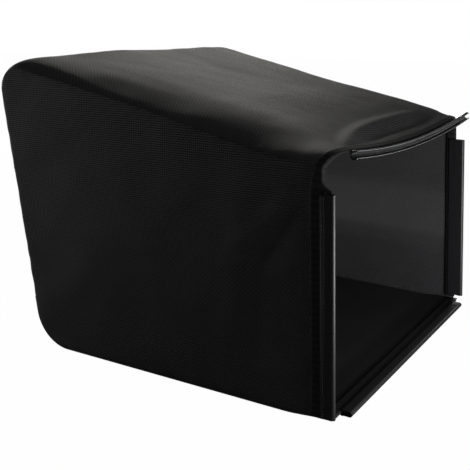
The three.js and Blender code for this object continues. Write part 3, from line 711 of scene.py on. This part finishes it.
top_tape = []
for u in u_row[1:-1]:
    full = CORNER_FULLNESS * float(corner_share(u))
    start = float(top_tape_front(u))
    top_tape.append((*top_edge(u), tape_profile(start, start + TOP_TAPE_WIDTH, full,
                                                MESH_THICKNESS)))
stations = (side_tape(-1, LEFT_HOOK[1] + CLEARANCE, TAB_REACH) + [seam_station(-1)] + top_tape
            + [seam_station(1)] + side_tape(1, RIGHT_HOOK[1] + CLEARANCE, 0.0)[::-1])
mouth_tape = give_thickness(sweep_profile("mouth_tape", stations), TAPE_THICKNESS)
cloth_piece(mouth_tape, tape_cloth, ["mouth_edge_tape"])


# The same tape along the front of the floor, between the two side channels.
def floor_station(x, profile):
    return (np.array([x, 0, FLOOR_RISE]), np.array([0.0, 1, 0]), np.array([0.0, 0, -1]), profile)


HOOK_THICKNESS, HOOK_WALL = 6.0, 0.8
floor_tape_half = MOUTH_WIDTH / 2 - (1.6 + 4.4 + HOOK_WALL + CLEARANCE)
floor_profile = tape_profile(TAPE_SETBACK, TAPE_END, 0.0, FLOOR_THICKNESS)
floor_tape = give_thickness(sweep_profile("floor_tape", [
    floor_station(x, floor_profile) for x in np.linspace(-floor_tape_half, floor_tape_half, 80)]),
    TAPE_THICKNESS)
cloth_piece(floor_tape, tape_cloth, ["floor_edge_tape"])


# The same tape, sewn over the seam allowances inside the bag so that no raw edge frays.
SEAM_TAPE_WIDTH, SEAM_TAPE_THICKNESS, BINDING_THICKNESS = 9.0, 2.6, 0.7
seam_depth = FLOOR_THICKNESS + CLEARANCE


def folded_binding(low, high, thickness, radius=1.1):
    """The outer face of tape folded over an allowance, from one raw edge round to the other."""
    bend = [(high - radius + radius * math.cos(t), thickness / 2 + (thickness / 2) * math.sin(t))
            for t in np.linspace(-math.pi / 2, math.pi / 2, 9)]
    return np.array([(low, 0), ((low + high) / 2, 0)] + bend + [((low + high) / 2, thickness),
                                                                (low, thickness)])


seam_stops = np.concatenate([np.linspace(TAPE_END, TOP_END, 70),
                             np.linspace(TOP_END, TOP_CORNER_END, 16)[1:],
                             np.linspace(TOP_CORNER_END, REAR_END, 50)[1:],
                             np.linspace(REAR_END, FOOT_CORNER_END, 20)[1:]])
for name, side in (("left", -1), ("right", 1)):
    stations = []
    for distance in seam_stops:
        y, z = seam_point(distance)
        out_y, out_z = seam_out(distance)
        x = side * (half_width(y, z) - MESH_THICKNESS - CLEARANCE)
        z = z - left_sag(distance) if side < 0 and distance < TOP_END else z
        wobble = 0.5 * noise.noise(Vector((side * 3.0, distance / 21, 0.0)))
        section = folded_binding(seam_depth, seam_depth + SEAM_TAPE_WIDTH + wobble,
                                 SEAM_TAPE_THICKNESS)
        stations.append((np.array([x, y, z]), np.array([0, -out_y, -out_z]),
                         np.array([-side, 0.0, 0.0]), section))
    tape = give_thickness(sweep_profile(f"{name}_seam_binding", stations), BINDING_THICKNESS)
    cloth_piece(tape, tape_cloth, [f"{name}_seam_tape"])

rear_y, rear_z = seam_point(REAR_SEAM_AT)
reach = 1 - 9 / half_width(rear_y, rear_z)
out_y, out_z = seam_out(REAR_SEAM_AT)
section = folded_binding(-SEAM_TAPE_WIDTH / 2, SEAM_TAPE_WIDTH / 2, SEAM_TAPE_THICKNESS)
stations = [(strip_point(np.array(REAR_SEAM_AT), np.array(u), -seam_depth),
             np.array([0, -out_z, out_y]), np.array([0, -out_y, -out_z]), section)
            for u in np.linspace(-reach, reach, 90)]
rear_tape = give_thickness(sweep_profile("rear_seam_binding", stations), BINDING_THICKNESS)
cloth_piece(rear_tape, tape_cloth, ["rear_seam_tape"])


# Channels: black plastic extruded as a long section and cut to length. It is smooth along the
# section, half glossy, with fine drawing lines and pale scuffs along it.
def extruded_plastic(name, roughness, tint, shine):
    material, tree = new_material(name)
    place = add_node(tree, "ShaderNodeUVMap", uv_map="cloth")
    stretched = add_node(tree, "ShaderNodeMapping", {0: place.outputs[0], 3: (2600.0, 6.0, 1.0)})
    lines = add_node(tree, "ShaderNodeTexNoise", {"Vector": stretched.outputs[0], "Scale": 1.0,
                                                  "Detail": 3.0})
    specks = add_node(tree, "ShaderNodeTexNoise", {"Vector": place.outputs[0], "Scale": 120.0,
                                                   "Detail": 1.0})
    gloss = add_node(tree, "ShaderNodeMapRange", {0: specks.outputs[0], 1: 0.3, 2: 0.7,
                                                  3: roughness - 0.02, 4: roughness + 0.04})
    scuffs = add_node(tree, "ShaderNodeMapRange", {0: lines.outputs[0], 1: 0.35, 2: 0.75, 3: 0.85,
                                                   4: 1.35})
    colour = add_node(tree, "ShaderNodeVectorMath", {0: linear(tint)[:3], 3: scuffs.outputs[0]},
                      operation="SCALE")
    relief = add_node(tree, "ShaderNodeBump", {"Strength": 0.02, "Distance": 0.0001,
                                               "Height": lines.outputs[0]})
    finish_material(tree, add_node(tree, "ShaderNodeBsdfPrincipled", {
        "Base Color": colour.outputs[0], "Roughness": gloss.outputs[0], "IOR": 1.52,
        "Specular IOR Level": shine, "Normal": relief.outputs[0]}))
    return material


strip_plastic = extruded_plastic("extruded_pvc_strip", 0.42, "#18181a", 0.3)
snap_plastic = extruded_plastic("extruded_polypropylene_channel", 0.2, "#1a1b1d", 1.0)


# Hooked channels: the outer leg is sewn over the tape, the front turns in round the frame's wire
# and the inner leg springs back over it. The rear edge of the outer leg carries a low raised rib.
SIDE_HOOK_LIP, FLOOR_HOOK_LIP, HOOK_WIDTH, HOOK_CORNER_RADIUS = 20.0, 11.2, 15.0, 4.0
HOOK_RIB_HEIGHT, HOOK_RIB_WIDTH, HOOK_INSIDE, HOOK_STITCH_AT = 0.5, 1.4, 1.6, 12.4


def hook_section(rear, lip):
    outer = HOOK_INSIDE + HOOK_WALL
    bend = HOOK_THICKNESS / 2
    middle = outer - bend
    rib = rear - HOOK_RIB_WIDTH

    def round_front(radius, start, stop):
        return [(bend + radius * math.cos(math.radians(t)),
                 middle + radius * math.sin(math.radians(t)))
                for t in np.linspace(start, stop, 17)]

    return np.array([
        (rear, outer + HOOK_RIB_HEIGHT - 0.15), (rear - 0.15, outer + HOOK_RIB_HEIGHT),
        (rib + 0.15, outer + HOOK_RIB_HEIGHT), (rib, outer + HOOK_RIB_HEIGHT - 0.15),
        (rib, outer + 0.1), (rib - 0.15, outer), (rib - 3.2, outer), (rib - 3.4, outer - 0.22),
        (rib - 3.9, outer - 0.22), (rib - 4.1, outer),
        *round_front(bend, 90, 270),
        (lip - 0.3, outer - HOOK_THICKNESS), (lip, outer - HOOK_THICKNESS + 0.3),
        (lip, outer - HOOK_THICKNESS + HOOK_WALL - 0.3),
        (lip - 0.3, outer - HOOK_THICKNESS + HOOK_WALL),
        *round_front(bend - HOOK_WALL, 270, 90),
        (rear - 0.2, HOOK_INSIDE), (rear, HOOK_INSIDE + 0.2)])


def hook_stops(length):
    ends = np.array([0.0, 0.04, 0.15, 0.3, 0.5, 0.75, 1.0]) * HOOK_CORNER_RADIUS
    inset = HOOK_CORNER_RADIUS - np.sqrt(HOOK_CORNER_RADIUS ** 2 - (HOOK_CORNER_RADIUS - ends) ** 2)
    near = list(zip(ends, HOOK_WIDTH - inset))
    middle = [(along, HOOK_WIDTH) for along in np.linspace(HOOK_CORNER_RADIUS,
                                                           length - HOOK_CORNER_RADIUS, 24)[1:-1]]
    return near + middle + [(length - along, rear) for along, rear in near[::-1]]


def close_ends(piece):
    """Caps the two open ends of a swept solid and turns its faces outwards."""
    shell = bmesh.new()
    shell.from_mesh(piece.data)
    bmesh.ops.holes_fill(shell, edges=[e for e in shell.edges if e.is_boundary], sides=0)
    bmesh.ops.recalc_face_normals(shell, faces=shell.faces)
    shell.to_mesh(piece.data)
    shell.free()
    return piece


def plastic_piece(piece, material, node):
    close_ends(piece)
    piece.data.set_sharp_from_angle(angle=math.radians(32))
    piece.data.materials.append(material)
    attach(piece, "root")
    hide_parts(node)


for name, side, (foot, top) in (("left", -1, LEFT_HOOK), ("right", 1, RIGHT_HOOK)):
    level = side_edge(side, (foot + top) / 2)
    stations = [(side_edge(side, foot + along)[0], level[1], level[2],
                 hook_section(rear, SIDE_HOOK_LIP))
                for along, rear in hook_stops(top - foot)]
    plastic_piece(sweep_profile(f"{name}_hook_strip", stations, close_around=True), strip_plastic,
                  f"{name}_hook_channel")
    stitch_rows.append(np.array([side_edge(side, z)[0] + level[1] * HOOK_STITCH_AT
                                 + level[2] * (HOOK_INSIDE + HOOK_WALL)
                                 for z in np.linspace(foot + 4, top - 4, 40)]))

FLOOR_HOOK_LENGTH = 361.0
stations = [floor_station(along - FLOOR_HOOK_LENGTH / 2, hook_section(rear, FLOOR_HOOK_LIP))
            for along, rear in hook_stops(FLOOR_HOOK_LENGTH)]
plastic_piece(sweep_profile("floor_hook_strip", stations, close_around=True), strip_plastic,
              "floor_hook_channel")
stitch_rows.append(np.array([[x, HOOK_STITCH_AT, FLOOR_RISE - HOOK_INSIDE - HOOK_WALL + 0.1]
                             for x in np.linspace(-FLOOR_HOOK_LENGTH / 2 + 5,
                                                  FLOOR_HOOK_LENGTH / 2 - 5, 60)]))


# Snap channel: a C-shaped tube that presses on to the frame's top wire. Its opening is turned
# up between two round lips, and a flat tongue behind it is sewn under the edge of the top.
SNAP_BORE, SNAP_WALL, SNAP_MOUTH, SNAP_TILT, SNAP_LENGTH = 6.4, 1.6, 5.4, 20.0, 360.0
TONGUE_LENGTH, TONGUE_THICKNESS, TONGUE_HALF, SNAP_SETBACK = 14.0, 1.0, 130.0, 1.0


def snap_section(tongue, end_round):
    """The channel's section; end_round shrinks the walls where a cut end is rounded off."""
    outer = SNAP_BORE / 2 + SNAP_WALL * end_round
    opening = math.degrees(math.asin(SNAP_MOUTH / SNAP_BORE))
    front_at = 180 - SNAP_TILT
    half = TONGUE_THICKNESS / 2
    root = math.degrees(math.asin(half / outer))
    middle = (SNAP_SETBACK, -SNAP_TONGUE_RISE)

    def arc(radius, start, stop, count):
        return [(middle[0] + radius * math.cos(math.radians(t)),
                 middle[1] + radius * math.sin(math.radians(t)))
                for t in np.linspace(start, stop, count)]

    tip = middle[0] + outer + tongue
    centre_line = SNAP_BORE / 2 + (outer - SNAP_BORE / 2) / 2
    lip = (outer - SNAP_BORE / 2) / 2

    def lip_round(at, turn):
        base_angle = math.radians(at)
        cx = middle[0] + centre_line * math.cos(base_angle)
        cy = middle[1] + centre_line * math.sin(base_angle)
        return [(cx + lip * math.cos(base_angle + t * turn),
                 cy + lip * math.sin(base_angle + t * turn))
                for t in np.linspace(0, math.pi, 9)[1:-1]]

    lower = lip_round(front_at + opening, -1)
    upper = lip_round(front_at - opening, 1)
    return np.array(
        arc(outer, front_at + opening, 360 - root, 24)
        + [(tip - 0.2, middle[1] - half), (tip, middle[1] - half + 0.2),
           (tip, middle[1] + half - 0.2), (tip - 0.2, middle[1] + half)]
        + arc(outer, root, front_at - opening, 24) + upper
        + arc(SNAP_BORE / 2, front_at - opening, front_at + opening - 360, 36) + lower[::-1])


snap_from, snap_to = SNAP_SHIFT - SNAP_LENGTH / 2, SNAP_SHIFT + SNAP_LENGTH / 2
snap_stops = [(snap_from, 0.0, 0.55), (snap_from + 0.35, 0.0, 0.85), (snap_from + 0.9, 0.0, 1.0)]
snap_stops += [(x, 0.0, 1.0) for x in np.linspace(snap_from + 4, -TONGUE_HALF - 0.3, 4)]
snap_stops += [(x, TONGUE_LENGTH, 1.0) for x in np.linspace(-TONGUE_HALF, TONGUE_HALF, 40)]
snap_stops += [(x, 0.0, 1.0) for x in np.linspace(TONGUE_HALF + 0.3, snap_to - 4, 10)]
snap_stops += [(snap_to - 0.9, 0.0, 1.0), (snap_to - 0.35, 0.0, 0.85), (snap_to, 0.0, 0.55)]
stations = []
for x, tongue, end_round in snap_stops:
    back = unit(np.array([0, 1, TOP_SLOPE]))
    along = np.array([1, 0, (x - SNAP_SHIFT) / SNAP_BEND_RADIUS])
    lift = float(channel_height(x)) + SNAP_TONGUE_RISE - MOUTH_HEIGHT
    stations.append((top_origin(x, MOUTH_LEAN, lift), back, unit(np.cross(along, back)),
                     snap_section(max(tongue, 0.3), end_round)))
plastic_piece(sweep_profile("snap_channel", stations, close_around=True), snap_plastic,
              "top_snap_channel")


# Sewing: bonded nylon thread in a lockstitch of about 3.6 mm, along the mouth's tape where it
# holds the snap channel's tongue, and along the rear of each hooked strip. It is a twisted black
# cord with a dull shine.
STITCH_SPACING, STITCH_LENGTH, THREAD_RADIUS = 3.6, 2.9, 0.34

thread, tree = new_material("bonded_nylon_thread")
place = add_node(tree, "ShaderNodeTexCoord")
twist = add_node(tree, "ShaderNodeTexNoise", {"Vector": place.outputs["Object"], "Scale": 1400.0,
                                              "Detail": 1.0})
ply = add_node(tree, "ShaderNodeMix", {0: twist.outputs[0], 6: linear("#131315"),
                                       7: linear("#2c2c2f")}, data_type="RGBA")
finish_material(tree, add_node(tree, "ShaderNodeBsdfPrincipled", {
    "Base Color": ply.outputs[2], "Roughness": 0.5, "IOR": 1.53}))

sewing = bpy.data.node_groups.new("lockstitch_rows", "GeometryNodeTree")
sewing.interface.new_socket("Geometry", in_out="INPUT", socket_type="NodeSocketGeometry")
for name, kind in (("Spacing", "Float"), ("Length", "Float"), ("Radius", "Float"),
                   ("Thread", "Material")):
    sewing.interface.new_socket(name, in_out="INPUT", socket_type=f"NodeSocket{kind}")
sewing.interface.new_socket("Geometry", in_out="OUTPUT", socket_type="NodeSocketGeometry")
given = add_node(sewing, "NodeGroupInput")
rows = add_node(sewing, "GeometryNodeMeshToCurve", {"Mesh": given.outputs["Geometry"]})
holes = add_node(sewing, "GeometryNodeResampleCurve", {
    "Curve": rows.outputs[0], "Length": given.outputs["Spacing"]}, mode="LENGTH")
along = add_node(sewing, "GeometryNodeInputTangent")
turned = add_node(sewing, "FunctionNodeAlignRotationToVector", {"Vector": along.outputs[0]},
                  axis="Z")
half_length = add_node(sewing, "ShaderNodeMath", {0: given.outputs["Length"], 1: 0.5},
                       operation="MULTIPLY")
stretch = add_node(sewing, "ShaderNodeCombineXYZ", {
    0: given.outputs["Radius"], 1: given.outputs["Radius"], 2: half_length.outputs[0]})
ball = add_node(sewing, "GeometryNodeMeshUVSphere", {"Segments": 6, "Rings": 5, "Radius": 1.0})
stitch = add_node(sewing, "GeometryNodeSetShadeSmooth", {"Geometry": ball.outputs[0]})
laid = add_node(sewing, "GeometryNodeInstanceOnPoints", {
    "Points": holes.outputs[0], "Instance": stitch.outputs[0], "Rotation": turned.outputs[0],
    "Scale": stretch.outputs[0]})
made = add_node(sewing, "GeometryNodeRealizeInstances", {"Geometry": laid.outputs[0]})
dressed = add_node(sewing, "GeometryNodeSetMaterial", {
    "Geometry": made.outputs[0], "Material": given.outputs["Thread"]})
add_node(sewing, "NodeGroupOutput", {"Geometry": dressed.outputs[0]})

corners, edges = [], []
for row in stitch_rows:
    first = len(corners)
    corners += (row * 0.001 + [0, FRONT_Y_M, 0]).tolist()
    edges += [(k, k + 1) for k in range(first, len(corners) - 1)]
row_mesh = bpy.data.meshes.new("stitch_rows")
row_mesh.from_pydata(corners, edges, [])
stitches = bpy.data.objects.new("stitches", row_mesh)
bpy.context.scene.collection.objects.link(stitches)
sew = stitches.modifiers.new("sewing", "NODES")
sew.node_group = sewing
wanted = {"Spacing": STITCH_SPACING * 0.001, "Length": STITCH_LENGTH * 0.001,
          "Radius": THREAD_RADIUS * 0.001, "Thread": thread}
for socket in sewing.interface.items_tree:
    if socket.in_out == "INPUT" and socket.name in wanted:
        sew[socket.identifier] = wanted[socket.name]
evaluated = stitches.evaluated_get(bpy.context.evaluated_depsgraph_get())
sewn = bpy.data.meshes.new_from_object(evaluated)
stitches.modifiers.clear()
stitches.data = sewn
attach(stitches, "root")
